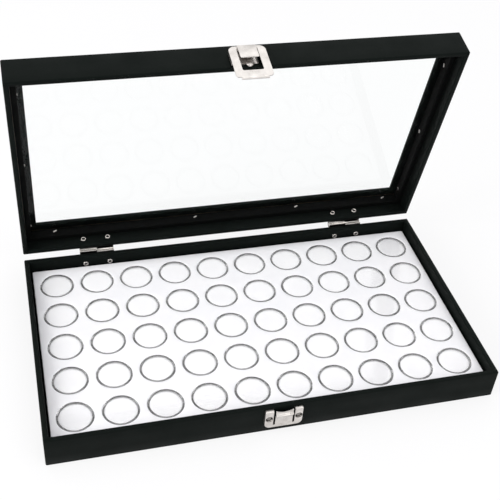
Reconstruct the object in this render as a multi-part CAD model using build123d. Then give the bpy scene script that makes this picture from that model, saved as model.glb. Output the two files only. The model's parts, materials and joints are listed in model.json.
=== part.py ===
from build123d import *
import os

os.makedirs("parts", exist_ok=True)

# Frame: X along the length, Y from front to back, Z up, origin in the middle of the underside.
# The lid is modelled closed and then swung open about the hinge pins.

# The closed case, 14 3/4 by 8 1/4 by nearly 2 1/4 inches
case_length = 374.65
case_width = 209.55
base_height = 28.8
lid_height = 26.2
rim_gap = 0.3
lid_opening = 77.4

# Boards and the leatherette wrapped over them
board = 3.7
board_easing = 0.5
cover = 0.4
edge_radius = 1.2
corner_easing = 0.8
bottom_board = 2.6
turn_under = 14.0
base_turn_in_foot = 10.0
rail_thickness = 3.0
rail_width = 13.6
lid_turn_in = 15.0
window_turn_in = 7.3
felt_gap = 0.5

# Glass, the strips that hold it and their brads
glass_thickness = 2.0
glass_play = 0.5
strip_thickness = 4.8
strip_height = 9.3
strip_easing = 0.6
brad_width = 1.2
brad_thickness = 1.0
brad_bite = 2.0
brad_head_width = 2.2
brad_head_height = 1.6
brad_head_thickness = 0.4
brad_clearance = 0.05
brad_below_glass = 3.9
left_brad_inset = 30.3
right_brad_inset = 23.3
front_brad_inset = 27.8
back_brad_inset = 20.8
long_side_middle_brads = (-26.0, 74.0)
short_side_middle_brad = 3.0

# Hinges of two knuckles, riveted to the outside of the back walls
hinge_inset = 66.1
hinge_width = 31.0
hinge_sheet = 1.0
hinge_reach = 13.0
hinge_corner = 1.5
knuckle_radius = 3.1
knuckle_gap = 0.2
knuckle_seam_angle = 50.0
pin_clearance = 0.05
hinge_rivet_spacing = 22.2
base_rivet_drop = 9.0
lid_rivet_rise = 8.0

# Tubular rivets, rolled over inside the case; they and their seats are drawn with a few flats
rivet_sides = 8
shank_radius = 1.5
shank_clearance = 0.05
head_radius = 2.9
head_height = 0.9
roll_radius = 2.5
roll_height = 0.8
mouth_radius = 1.1
mouth_depth = 2.4

# Strap that holds the latch ring on the lid's front
strap_width = 15.0
strap_sheet = 0.8
strap_bore_radius = 2.0
strap_eye_rise = 18.4
strap_leaf_foot = 4.7
strap_rivet_rise = 3.4
strap_lobe_radius = 3.0

# Latch ring, pressed from sheet, with a bar that turns in the strap
ring_width = 30.0
ring_sheet = 0.9
ring_stand = 3.8
ring_top_margin = 0.6
ring_below_rim = 15.5
ring_window_width = 17.0
ring_bottom_band = 7.2
ring_top_corner = 5.0
ring_bottom_corner = 3.0
ring_window_corner = 1.5
ring_flange_depth = 3.0
ring_flange_foot = 1.7
ring_lip_width = 22.0
ring_lip_depth = 0.6
bar_clearance = 0.08
bar_length = 23.0

# Catch plate on the base's front, with a spring tongue between two slots
catch_width = 31.4
catch_below_rim = 2.6
catch_height = 19.2
catch_depth = 3.0
catch_sheet = 0.8
catch_bottom_corner = 4.5
catch_top_corner = 1.0
tongue_width = 14.4
tongue_slot = 1.6
tongue_root = 3.4
tongue_ridge_gap = 0.8
tongue_ridge_reach = 2.2
tongue_ridge_slope = 0.3
tongue_tip_reach = 0.5
tongue_notch_depth = 1.8
tongue_notch_width = 13.0
dimple_radius = 2.9
dimple_depth = 1.5
dimple_boss = 0.5
dimple_sides = 16
catch_rivet_x = 12.2
catch_rivet_drop = 8.6
catch_head_radius = 2.4

# Foam insert on its card, and the jars in its pockets
insert_gap = 1.6
card = 0.5
foam_thickness = 14.9
jar_columns = 10
jar_rows = 5
edge_foam_share = 0.93
jar_radius = 14.8
jar_height = 15.2
jar_sides = 16
pocket_gap = 0.35
cap_height = 5.4
cap_wall = 1.1
cap_fit = 0.15
cup_wall = 1.1
pad_fit = 0.2

# Levels and reaches worked out from the sizes above
wall = board + 2 * cover
back_face = case_width / 2
front_face = -case_width / 2
floor_level = cover + bottom_board
lid_rim = base_height + rim_gap
lid_top = lid_rim + lid_height
rail_level = lid_top - cover - rail_thickness
glass_top = rail_level - cover
glass_bottom = glass_top - glass_thickness
strip_foot = glass_bottom - strip_height
strip_face = wall + strip_thickness
window_inset = cover + rail_width + cover
hinge_x = case_length / 2 - hinge_inset
hinge_y = back_face + knuckle_radius
hinge_z = base_height + rim_gap / 2
knuckle_bore = knuckle_radius - hinge_sheet
shank_hole = shank_radius + shank_clearance


def save(node, shape):
    shape.label = node
    export_step(shape, f"parts/{node}.step")


def save_on_lid(node, shape):
    """Save a piece of the lid, swung from closed to where the lid stands open."""
    pins = Axis((0, hinge_y, hinge_z), (1, 0, 0))
    save(node, shape.rotate(pins, -lid_opening))


def block(inset, low, high):
    """A block between two levels whose sides stand in from the faces of the case."""
    length = case_length - 2 * inset
    width = case_width - 2 * inset
    return Pos(0, 0, (low + high) / 2) * Box(length, width, high - low)


def frame(inset, width, low, high):
    """A rectangular frame of one width that stands in from the faces of the case."""
    return block(inset, low, high) - block(inset + width, low, high)


def corner_edges(shape, inset):
    """The upright edges at the corners of a shape that stands in from the faces."""
    corner_x = case_length / 2 - inset
    uprights = shape.edges().filter_by(Axis.Z)
    return uprights.filter_by(lambda edge: abs(abs(edge.center().X) - corner_x) < 0.01)


def loop_edges(shape, inset, level):
    """The edges of the level rectangle that a shape has at one inset."""
    reach_x = case_length / 2 - inset
    reach_y = case_width / 2 - inset

    def lies_on_loop(edge):
        middle = edge.center()
        on_side = abs(abs(middle.X) - reach_x) < 0.01 or abs(abs(middle.Y) - reach_y) < 0.01
        return on_side and abs(middle.Z - level) < 0.01

    return shape.edges().filter_by(lies_on_loop)


def rim_edges(shape, level):
    """All the edges of a shape that lie at one level."""
    return shape.edges().filter_by_position(Axis.Z, level - 0.01, level + 0.01)


def mitred(ring):
    """The front, back, left and right pieces of a frame, parted at 45 degree mitres."""
    half_length = case_length / 2
    half_width = case_width / 2
    ridge = half_length - half_width
    left_front = (-half_length, -half_width)
    right_front = (half_length, -half_width)
    right_back = (half_length, half_width)
    left_back = (-half_length, half_width)
    outlines = {
        "front": [left_front, right_front, (ridge, 0), (-ridge, 0)],
        "back": [right_back, left_back, (-ridge, 0), (ridge, 0)],
        "left": [left_back, left_front, (-ridge, 0)],
        "right": [right_front, right_back, (ridge, 0)],
    }
    height = lid_top
    pieces = {}
    for side, outline in outlines.items():
        sector = extrude(make_face(Polyline(*outline, close=True)), height)
        pieces[side] = ring & sector
    return pieces


# Fastenings are modelled pointing up, seated at zero, and turned into the walls where they go

into_back_wall = Rot(90, 0, 0)
into_front_wall = Rot(-90, 0, 0)


def round_bar(radius, low, high):
    """A small round bar between two levels, drawn with flats."""
    return Pos(0, 0, low) * extrude(RegularPolygon(radius, rivet_sides), high - low)


def rivet(grip, radius=head_radius):
    """A tubular rivet: head under zero, shank through the grip, rolled end over it."""
    tip = grip + roll_height
    body = round_bar(radius, -head_height, 0)
    body += round_bar(shank_radius, 0, grip)
    body += round_bar(roll_radius, grip, tip)
    return body - round_bar(mouth_radius, tip - mouth_depth, tip)


def shank_bore(length):
    """The hole that a rivet's shank passes, run well past both sides."""
    return round_bar(shank_hole, -length, length)


def rivet_places(hinge_level):
    """Where the four rivets of the two hinges go on one back wall."""
    places = []
    for centre in (-hinge_x, hinge_x):
        for side in (-1, 1):
            places.append((centre + side * hinge_rivet_spacing / 2, hinge_level))
    return places


base_hinge_rivets = rivet_places(hinge_z - base_rivet_drop)
lid_hinge_rivets = rivet_places(hinge_z + lid_rivet_rise)
catch_head = base_height - catch_below_rim
catch_rivet_level = catch_head - catch_rivet_drop
catch_rivets = [(-catch_rivet_x, catch_rivet_level), (catch_rivet_x, catch_rivet_level)]
strap_rivet = (0, lid_rim + strap_rivet_rise)


def wall_bores(places, face):
    """The rivet holes through one wall of the base or the lid."""
    return [Pos(x, face, z) * into_back_wall * shank_bore(wall) for x, z in places]


# Base tray: four mitred boards round a bottom board

base_boards = frame(cover, board, cover, base_height - cover)
eased_edges = (
    corner_edges(base_boards, cover)
    + loop_edges(base_boards, cover, base_height - cover)
    + loop_edges(base_boards, cover + board, base_height - cover)
)
base_boards = chamfer(eased_edges, board_easing)
base_bores = wall_bores(base_hinge_rivets, back_face) + wall_bores(catch_rivets, front_face)

for side, piece in mitred(base_boards - base_bores).items():
    save(f"base_{side}_wall", piece)

save("base_bottom_board", block(cover + board, cover, floor_level))
save("base_underside_felt", block(turn_under + felt_gap, 0, cover))


# Leatherette of the base: over the outside, over the rim, down the inside and turned under

base_cover = frame(0, wall, 0, base_height)
base_cover = chamfer(corner_edges(base_cover, 0), corner_easing)
rounded_edges = rim_edges(base_cover, base_height)
base_cover = fillet(rounded_edges, edge_radius)
base_cover -= base_boards
base_cover -= block(cover + board, cover, base_turn_in_foot)
base_cover += frame(wall, turn_under - wall, 0, cover)
save("base_leatherette_cover", base_cover - base_bores)


# Lid: four mitred wall boards under four mitred top rails that leave the window

lid_boards = frame(cover, board, lid_rim + cover, rail_level)
eased_edges = (
    corner_edges(lid_boards, cover)
    + loop_edges(lid_boards, cover, lid_rim + cover)
    + loop_edges(lid_boards, cover + board, lid_rim + cover)
)
lid_boards = chamfer(eased_edges, board_easing)

lid_rails = frame(cover, rail_width, rail_level, lid_top - cover)
eased_edges = (
    corner_edges(lid_rails, cover)
    + loop_edges(lid_rails, cover, lid_top - cover)
    + loop_edges(lid_rails, cover + rail_width, lid_top - cover)
    + loop_edges(lid_rails, cover + rail_width, rail_level)
)
lid_rails = chamfer(eased_edges, board_easing)

# Brads stand in the strips' inner faces, four along each long side and three along each short side
brad_level = glass_bottom - brad_below_glass
long_reach = back_face - strip_face
short_reach = case_length / 2 - strip_face
brad_seats = []
left_brad = left_brad_inset - case_length / 2
right_brad = case_length / 2 - right_brad_inset
for x in (left_brad, *long_side_middle_brads, right_brad):
    brad_seats.append(Pos(x, long_reach, brad_level) * Rot(-90, 0, 0))
    brad_seats.append(Pos(x, -long_reach, brad_level) * Rot(90, 0, 0))
front_brad = front_brad_inset - case_width / 2
back_brad = case_width / 2 - back_brad_inset
for y in (front_brad, short_side_middle_brad, back_brad):
    brad_seats.append(Pos(short_reach, y, brad_level) * Rot(0, 0, 90) * Rot(90, 0, 0))
    brad_seats.append(Pos(-short_reach, y, brad_level) * Rot(0, 0, 90) * Rot(-90, 0, 0))

brad_length = strip_thickness + cover + brad_bite
brad_shank = Pos(0, 0, brad_length / 2) * Box(brad_width, brad_thickness, brad_length)
brad_head = Pos(0, 0, -brad_head_thickness / 2) * Box(
    brad_head_width, brad_head_height, brad_head_thickness
)
brad_hole = Pos(0, 0, brad_length / 2) * Box(
    brad_width + 2 * brad_clearance,
    brad_thickness + 2 * brad_clearance,
    brad_length + 2 * brad_clearance,
)
brad = brad_shank + brad_head
brad_holes = [seat * brad_hole for seat in brad_seats]
save_on_lid("retainer_brads", Compound(children=[seat * brad for seat in brad_seats]))

lid_bores = wall_bores(lid_hinge_rivets, back_face) + wall_bores([strap_rivet], front_face)
for side, piece in mitred(lid_boards - lid_bores - brad_holes).items():
    save_on_lid(f"lid_{side}_wall", piece)
for side, piece in mitred(lid_rails).items():
    save_on_lid(f"lid_top_{side}_rail", piece)


# Leatherette of the lid: turned in at the rim behind the strips, and in through the window under the rails

lid_cover = block(0, lid_rim, lid_top)
lid_cover -= block(wall, lid_rim, glass_top)
lid_cover -= block(window_inset, glass_top, lid_top)
lid_cover = chamfer(corner_edges(lid_cover, 0), corner_easing)
rounded_edges = (
    rim_edges(lid_cover, lid_top)
    + rim_edges(lid_cover, lid_rim)
    + loop_edges(lid_cover, window_inset, glass_top)
)
lid_cover = fillet(rounded_edges, edge_radius)
lid_cover -= [lid_boards, lid_rails]
lid_cover -= block(cover + board, lid_rim + lid_turn_in, glass_top)
lid_cover -= frame(cover + board, window_inset - window_turn_in - cover - board, glass_top, rail_level)
save_on_lid("lid_leatherette_cover", lid_cover - lid_bores)


# Glass pane against the turned-in leatherette, held by four strips with butted corners

save_on_lid("glass_pane", block(wall + glass_play, glass_bottom, glass_top))

long_strip = Box(case_length - 2 * wall, strip_thickness, strip_height)
short_strip = Box(strip_thickness, case_width - 2 * strip_face, strip_height)
strip_y = back_face - wall - strip_thickness / 2
strip_x = case_length / 2 - wall - strip_thickness / 2
strip_z = (strip_foot + glass_bottom) / 2
strips = {
    "front": Pos(0, -strip_y, strip_z) * long_strip,
    "back": Pos(0, strip_y, strip_z) * long_strip,
    "left": Pos(-strip_x, 0, strip_z) * short_strip,
    "right": Pos(strip_x, 0, strip_z) * short_strip,
}
for side, strip in strips.items():
    along = Axis.X if side in ("front", "back") else Axis.Y
    inner_edge = strip.edges().filter_by(along).sort_by(lambda edge: edge.center().length)[0]
    strip = chamfer(inner_edge, strip_easing)
    save_on_lid(f"glass_{side}_strip", strip - brad_holes)


# Hinges: each leaf is one sheet, rolled at one half of its width into a knuckle tangent to the back face


def hinge_leaf(side):
    """A leaf seen along the pin, its plate hanging below the pin, its knuckle on one side (-1 or 1)."""
    plate_top = -(knuckle_radius + knuckle_gap)
    plate_low = -hinge_reach
    plate = Pos(0, -knuckle_radius + hinge_sheet / 2, (plate_top + plate_low) / 2) * Box(
        hinge_width, hinge_sheet, plate_top - plate_low
    )
    lower_corners = plate.edges().filter_by(Axis.Y).group_by(Axis.Z)[0]
    plate = fillet(lower_corners, hinge_corner)

    open_sector = Polyline(
        (0, 0),
        (-3 * knuckle_radius, 0),
        (-3 * knuckle_radius, -3 * knuckle_radius),
        (0, -3 * knuckle_radius),
        close=True,
    )
    seam = Rot(0, 0, knuckle_seam_angle - 90) * make_face(open_sector)
    roll = Circle(knuckle_radius) - Circle(knuckle_bore)
    roll -= seam & make_face(open_sector)
    neck = Pos(-knuckle_radius + hinge_sheet / 2, plate_top / 2) * Rectangle(hinge_sheet, -plate_top)
    knuckle_width = (hinge_width - knuckle_gap) / 2
    knuckle = extrude(Plane.YZ * (roll + neck), knuckle_width)
    start = knuckle_gap / 2 if side > 0 else -hinge_width / 2
    return plate + Pos(start, 0, 0) * knuckle


base_leaf = hinge_leaf(-1)
lid_leaf = mirror(hinge_leaf(1), Plane.XY)
for name, centre in (("left", -hinge_x), ("right", hinge_x)):
    place = Pos(centre, hinge_y, hinge_z)
    save(f"{name}_hinge_base_leaf", place * base_leaf - wall_bores(base_hinge_rivets, back_face))
    save_on_lid(f"{name}_hinge_lid_leaf", place * lid_leaf - wall_bores(lid_hinge_rivets, back_face))

hinge_pin = Rot(0, 90, 0) * Cylinder(knuckle_bore - pin_clearance, hinge_width)
pins = [Pos(centre, hinge_y, hinge_z) * hinge_pin for centre in (-hinge_x, hinge_x)]
save("hinge_pins", Compound(children=pins))

hinge_rivet = into_back_wall * rivet(hinge_sheet + wall)
leaf_face = back_face + hinge_sheet
save(
    "hinge_base_rivets",
    Compound(children=[Pos(x, leaf_face, z) * hinge_rivet for x, z in base_hinge_rivets]),
)
save_on_lid(
    "hinge_lid_rivets",
    Compound(children=[Pos(x, leaf_face, z) * hinge_rivet for x, z in lid_hinge_rivets]),
)


# Latch. Profiles are drawn on a section plane with distance out from the front face and level up,
# outlines on a face plane with X across and level up.

section_plane = Plane(origin=(0, front_face, 0), x_dir=(0, -1, 0), z_dir=(-1, 0, 0))


def face_plane(stand):
    return Plane(origin=(0, front_face - stand, 0), x_dir=(1, 0, 0), z_dir=(0, -1, 0))


def upright(width, low, high):
    """A rectangle across the middle between two levels."""
    return Pos(0, (low + high) / 2) * Rectangle(width, high - low)


# Strap: one sheet folded round the ring's bar, its inner leaf riveted to the lid
eye_out = strap_sheet + strap_bore_radius
eye_level = lid_rim + strap_eye_rise
eye_radius = strap_bore_radius + strap_sheet
rivet_level = lid_rim + strap_rivet_rise

eye = Circle(eye_radius) - Circle(strap_bore_radius)
eye -= Pos(0, -eye_radius) * Rectangle(3 * eye_radius, 2 * eye_radius)
leaf_length = eye_level - lid_rim - strap_leaf_foot
outer_leaf = Rectangle(strap_sheet, leaf_length)
outer_leaf = Pos(strap_bore_radius + strap_sheet / 2, -leaf_length / 2) * outer_leaf
strap = extrude(section_plane * Pos(eye_out, eye_level) * (eye + outer_leaf), strap_width / 2, both=True)
inner_leaf = upright(strap_width, rivet_level, eye_level) + Pos(0, rivet_level) * Circle(strap_lobe_radius)
strap += extrude(face_plane(0) * inner_leaf, strap_sheet)
save_on_lid("latch_strap", strap - wall_bores([strap_rivet], front_face))
save_on_lid(
    "latch_strap_rivet",
    Pos(0, front_face - strap_sheet, rivet_level) * into_front_wall * rivet(strap_sheet + wall),
)

# Ring: a pressed plate, flanged back at its sides, with a bar across the top that turns in the strap
ring_foot = lid_rim - ring_below_rim
ring_head = eye_level + ring_top_margin
window_foot = ring_foot + ring_bottom_band


def ring_outline(margin):
    """The ring's outside, drawn in by a margin."""
    outline = upright(ring_width - 2 * margin, ring_foot + margin, ring_head - margin)
    low_corners = outline.vertices().group_by(Axis.Y)[0]
    outline = fillet(low_corners, ring_bottom_corner - margin)
    high_corners = outline.vertices().group_by(Axis.Y)[-1]
    return fillet(high_corners, ring_top_corner - margin)


window = upright(ring_window_width, window_foot, ring_head + ring_top_corner)
window = fillet(window.vertices().group_by(Axis.Y)[0], ring_window_corner)
ring = extrude(face_plane(ring_stand) * (ring_outline(0) - window), ring_sheet)

flange = ring_outline(0) - ring_outline(ring_sheet)
flange -= upright(ring_window_width, ring_foot, ring_head)
flange -= upright(ring_width, ring_foot, lid_rim + ring_flange_foot)
ring += extrude(face_plane(ring_stand - ring_flange_depth) * flange, ring_flange_depth)
lip = upright(ring_lip_width, ring_foot, ring_foot + ring_sheet)
ring += extrude(face_plane(ring_stand - ring_lip_depth) * lip, ring_lip_depth)
bar = Rot(0, 90, 0) * Cylinder(strap_bore_radius - bar_clearance, bar_length)
ring += Pos(0, front_face - eye_out, eye_level) * bar
save_on_lid("latch_ring", ring)

# Catch plate: a pressed box, open behind, whose tongue is free between two slots
catch_foot = catch_head - catch_height
tongue_foot = catch_foot + tongue_root
ridge_foot = window_foot + tongue_ridge_gap
slot_width = tongue_width + 2 * tongue_slot


def catch_outline(margin):
    outline = upright(catch_width - 2 * margin, catch_foot + margin, catch_head - margin)
    low_corners = outline.vertices().group_by(Axis.Y)[0]
    outline = fillet(low_corners, catch_bottom_corner - margin)
    high_corners = outline.vertices().group_by(Axis.Y)[-1]
    return fillet(high_corners, catch_top_corner - margin)


catch_plate = extrude(face_plane(0) * catch_outline(0), catch_depth)
catch_plate -= extrude(face_plane(0) * catch_outline(catch_sheet), catch_depth - catch_sheet)
catch_plate -= extrude(face_plane(0) * upright(slot_width, ridge_foot, catch_head), catch_depth)
slots = upright(slot_width, tongue_foot, catch_head) - upright(tongue_width, tongue_foot, catch_head)
catch_plate -= extrude(face_plane(0) * slots, catch_depth)

back_of_sheet = catch_depth - catch_sheet
ridge_out = catch_depth + tongue_ridge_reach
tip_out = catch_depth + tongue_tip_reach
ridge = Polyline(
    (back_of_sheet, ridge_foot),
    (catch_depth, ridge_foot),
    (ridge_out, ridge_foot + tongue_ridge_slope),
    (ridge_out, ridge_foot + tongue_ridge_slope + catch_sheet),
    (tip_out, catch_head),
    (tip_out - catch_sheet, catch_head),
    (ridge_out - catch_sheet, ridge_foot + tongue_ridge_slope + catch_sheet),
    (back_of_sheet, ridge_foot + catch_sheet),
    close=True,
)
tongue = extrude(section_plane * make_face(ridge), tongue_width / 2, both=True)
notch_radius = ((tongue_notch_width / 2) ** 2 + tongue_notch_depth**2) / (2 * tongue_notch_depth)
notch = Pos(0, catch_head - tongue_notch_depth + notch_radius) * Circle(notch_radius)
tongue -= extrude(face_plane(0) * notch, 2 * ridge_out)
catch_plate += tongue

for x, z in catch_rivets:
    boss = Pos(x, z) * RegularPolygon(dimple_radius + dimple_boss, rivet_sides)
    dimple = Pos(x, z) * RegularPolygon(dimple_radius, dimple_sides)
    catch_plate += extrude(face_plane(0) * boss, catch_depth)
    catch_plate -= extrude(face_plane(dimple_depth) * dimple, catch_depth)
save("latch_catch_plate", catch_plate - wall_bores(catch_rivets, front_face))

catch_rivet = into_front_wall * rivet(dimple_depth + wall, catch_head_radius)
catch_seat = front_face - dimple_depth
save(
    "catch_plate_rivets",
    Compound(children=[Pos(x, catch_seat, z) * catch_rivet for x, z in catch_rivets]),
)


# Insert: a foam block with a pocket for each jar, glued on a card

card_level = floor_level + card
insert_inset = wall + insert_gap
save("insert_backing_card", block(insert_inset, floor_level, card_level))

pocket_radius = jar_radius + pocket_gap
foam_length = case_length - 2 * insert_inset
foam_width = case_width - 2 * insert_inset


def jar_pitch(room, count):
    """The distance between jars, with the foam left over shared out, a little less of it at the edges."""
    foam_left = room - count * 2 * pocket_radius
    return 2 * pocket_radius + foam_left / (count - 1 + 2 * edge_foam_share)


column_pitch = jar_pitch(foam_length, jar_columns)
row_pitch = jar_pitch(foam_width, jar_rows)


def jar_place(column, row):
    """The centre of a jar, counted from the left and from the front."""
    x = (column - (jar_columns - 1) / 2) * column_pitch
    y = (row - (jar_rows - 1) / 2) * row_pitch
    return Pos(x, y, card_level)


foam = Pos(0, 0, card_level) * Rectangle(foam_length, foam_width)
pocket = RegularPolygon(pocket_radius, jar_sides)
foam -= [jar_place(column, row) * pocket for column in range(jar_columns) for row in range(jar_rows)]
save("foam_insert", extrude(foam, foam_thickness))


# Jars: every row is ten closed jars, except that the front row's last jar is made in its separate pieces

closed_jar = extrude(RegularPolygon(jar_radius, jar_sides), jar_height)
last_column = jar_columns - 1
for row in range(jar_rows):
    columns = range(last_column) if row == 0 else range(jar_columns)
    jars = [jar_place(column, row) * closed_jar for column in columns]
    save(f"jars_row_{row + 1}", Compound(children=jars))

sample_place = jar_place(last_column, 0)
cap_bore = jar_radius - cap_wall
cup_radius = cap_bore - cap_fit
cup_height = jar_height - cap_wall
cup_bore = cup_radius - cup_wall


def disc(radius, low, high):
    """A round of the jar between two heights above its foot."""
    return Pos(0, 0, low) * extrude(RegularPolygon(radius, jar_sides), high - low)


cup = disc(cup_radius, 0, cup_height) - disc(cup_bore, cup_wall, cup_height)
cap = disc(jar_radius, jar_height - cap_height, jar_height)
cap -= disc(cap_bore, jar_height - cap_height, cup_height)
pad = disc(cup_bore - pad_fit, cup_wall, cup_height - pad_fit)
save("sample_jar_cup", sample_place * cup)
save("sample_jar_cap", sample_place * cap)
save("sample_jar_pad", sample_place * pad)
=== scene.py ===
import json
from math import cos, pi, radians, sin

import bmesh
import bpy
from mathutils import Matrix, Vector


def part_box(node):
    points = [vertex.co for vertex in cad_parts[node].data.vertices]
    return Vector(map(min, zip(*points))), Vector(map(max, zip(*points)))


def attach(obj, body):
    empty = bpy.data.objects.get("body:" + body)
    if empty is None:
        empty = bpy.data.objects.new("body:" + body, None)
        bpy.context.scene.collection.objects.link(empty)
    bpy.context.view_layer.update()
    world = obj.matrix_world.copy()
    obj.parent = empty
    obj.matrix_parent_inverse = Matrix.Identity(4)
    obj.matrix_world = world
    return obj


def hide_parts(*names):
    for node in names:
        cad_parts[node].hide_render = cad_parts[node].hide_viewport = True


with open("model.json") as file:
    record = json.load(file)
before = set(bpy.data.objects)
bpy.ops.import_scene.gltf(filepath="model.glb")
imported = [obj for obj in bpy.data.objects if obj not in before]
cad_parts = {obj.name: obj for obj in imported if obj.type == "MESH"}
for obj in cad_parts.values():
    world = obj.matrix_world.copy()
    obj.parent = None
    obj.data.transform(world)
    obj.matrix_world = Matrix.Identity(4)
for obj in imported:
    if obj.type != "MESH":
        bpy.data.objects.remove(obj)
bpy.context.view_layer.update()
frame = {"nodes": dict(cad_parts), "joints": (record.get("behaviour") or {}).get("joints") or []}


# The table and the light
# A white sheet under the case, and three softboxes: one to its left, a wide one behind and one in
# front. The camera stands to the left of the case, looks down on it and leans a little.

mm = 0.001


def start_material(name):
    """A new material, its nodes, a way to wire them, and its shader."""
    material = bpy.data.materials.new(name)
    material.use_nodes = True
    nodes = material.node_tree.nodes
    wire = material.node_tree.links.new
    return material, nodes, wire, nodes["Principled BSDF"]


def combine(nodes, wire, operation, first, second):
    """Two values made one, by a maximum or a difference, and kept between zero and one."""
    result = nodes.new("ShaderNodeMath")
    result.operation = operation
    result.use_clamp = True
    wire(first, result.inputs[0])
    wire(second, result.inputs[1])
    return result.outputs[0]


def between(nodes, wire, value, low, high, darkest=0.3, lightest=0.7):
    """A value brought from one range to another."""
    scale = nodes.new("ShaderNodeMapRange")
    scale.inputs["From Min"].default_value = darkest
    scale.inputs["From Max"].default_value = lightest
    scale.inputs["To Min"].default_value = low
    scale.inputs["To Max"].default_value = high
    wire(value, scale.inputs["Value"])
    return scale.outputs["Result"]


def seen_directly(nodes, wire):
    """One for what the camera sees straight, in a mirror or through glass, and zero for other light."""
    path = nodes.new("ShaderNodeLightPath").outputs
    mirrored = combine(nodes, wire, "MAXIMUM", path["Is Camera Ray"], path["Is Glossy Ray"])
    through = combine(nodes, wire, "MAXIMUM", mirrored, path["Is Transmission Ray"])
    return combine(nodes, wire, "SUBTRACT", through, path["Diffuse Depth"])


def mix_shaders(nodes, wire, share, first, second, output):
    """Send an output the first shader, and a share of the second."""
    blend = nodes.new("ShaderNodeMixShader")
    wire(share, blend.inputs["Fac"])
    wire(first.outputs[0], blend.inputs[1])
    wire(second.outputs[0], blend.inputs[2])
    wire(blend.outputs[0], nodes[output].inputs["Surface"])


paper, nodes, wire, shader = start_material("white_paper")
shader.inputs["Base Color"].default_value = (0.86, 0.86, 0.865, 1)
shader.inputs["Roughness"].default_value = 0.9
shader.inputs["Specular IOR Level"].default_value = 0.1
glow = nodes.new("ShaderNodeEmission")
glowing = between(nodes, wire, seen_directly(nodes, wire), 0, 0.8, 0, 1)
mix_shaders(nodes, wire, glowing, shader, glow, "Material Output")

bpy.ops.mesh.primitive_plane_add(size=12, location=(0, 0, -0.05 * mm))
table = bpy.context.object
table.name = "table"
table.data.materials.append(paper)

world = bpy.data.worlds.new("studio")
bpy.context.scene.world = world
world.use_nodes = True
nodes = world.node_tree.nodes
wire = world.node_tree.links.new
room = nodes["Background"]
room.inputs["Color"].default_value = (0.98, 0.97, 1, 1)
room.inputs["Strength"].default_value = 0.9
backdrop = nodes.new("ShaderNodeBackground")
backdrop.inputs["Color"].default_value = (1, 1, 1, 1)
mix_shaders(nodes, wire, seen_directly(nodes, wire), room, backdrop, "World Output")


def softbox(name, place, aim, size, watts, colour):
    """A square soft lamp that hangs at a place and points at another."""
    lamp = bpy.data.lights.new(name, "AREA")
    lamp.size = size
    lamp.energy = watts
    lamp.color = colour
    holder = bpy.data.objects.new(name, lamp)
    bpy.context.scene.collection.objects.link(holder)
    holder.location = place
    direction = Vector(aim) - Vector(place)
    holder.rotation_euler = direction.to_track_quat("-Z", "Y").to_euler()


softbox("left_softbox", (-1.5, -0.35, 0.8), (0, 0, 0.05), 0.9, 15, (1, 0.985, 0.98))
softbox("back_softbox", (0.45, 0.9, 1.75), (0, 0, 0.1), 1.6, 3.4, (0.99, 0.99, 1))
softbox("front_softbox", (0.45, -1.1, 1.15), (0, 0, 0.02), 0.7, 3.8, (1, 0.99, 0.975))

camera_place = Vector((-180.34, -552.53, 592.60)) * mm
turn_right = radians(17.438)
look_down = radians(40.225)
lean = radians(5.039)
picture_size = 500
focal_pixels = 926.9

ahead = Vector((sin(turn_right) * cos(look_down), cos(turn_right) * cos(look_down), -sin(look_down)))
level_right = Vector((cos(turn_right), -sin(turn_right), 0))
level_up = level_right.cross(ahead)
right = level_right * cos(lean) + level_up * sin(lean)
up = level_up * cos(lean) - level_right * sin(lean)

camera = bpy.data.objects.new("camera", bpy.data.cameras.new("camera"))
bpy.context.scene.collection.objects.link(camera)
camera.matrix_world = Matrix.Translation(camera_place) @ Matrix((right, up, -ahead)).transposed().to_4x4()
camera.data.sensor_fit = "HORIZONTAL"
camera.data.sensor_width = 36
camera.data.lens = focal_pixels / picture_size * camera.data.sensor_width
camera.data.clip_start = 0.01
bpy.context.scene.camera = camera
bpy.context.scene.view_settings.view_transform = "Standard"


# Leatherette of the base
# One black embossed sheet glued over the boards: up the outside, over the rim, down the inside and
# turned under the bottom. Its edges are soft because the sheet bridges the eased corners of the board.

def hold(piece):
    """Take one piece in hand and nothing else."""
    bpy.ops.object.select_all(action="DESELECT")
    piece.select_set(True)
    bpy.context.view_layer.objects.active = piece


def start_shaping(name):
    """Name the primitive just added, set its place into its mesh, and open it with nothing selected."""
    piece = bpy.context.object
    piece.name = name
    bpy.ops.object.transform_apply(location=True, rotation=True, scale=True)
    bpy.ops.object.mode_set(mode="EDIT")
    bpy.ops.mesh.select_all(action="DESELECT")
    return piece


def add_block(name, low, high):
    """A block between two corners, open for shaping."""
    bpy.ops.object.select_all(action="DESELECT")
    bpy.ops.mesh.primitive_cube_add(size=1, location=(low + high) / 2, scale=high - low)
    return start_shaping(name)


def middle(item):
    """The middle of a vertex, an edge or a face."""
    if isinstance(item, bmesh.types.BMVert):
        return item.co
    if isinstance(item, bmesh.types.BMEdge):
        return (item.verts[0].co + item.verts[1].co) / 2
    return item.calc_center_median()


def near(value, target):
    """Whether two lengths agree to a fiftieth of a millimetre."""
    return abs(value - target) < 0.02 * mm


def central(face):
    """Whether a face lies round the middle of the case."""
    return abs(middle(face).x) + abs(middle(face).y) < mm


def sharp(edge):
    """Whether the faces beside an edge turn by more than a radian."""
    return edge.calc_face_angle(0) > 1


def runs(edge, axis):
    """Whether an edge runs along an axis."""
    across = edge.verts[1].co - edge.verts[0].co
    return abs(across.normalized()[axis]) > 0.9


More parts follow.
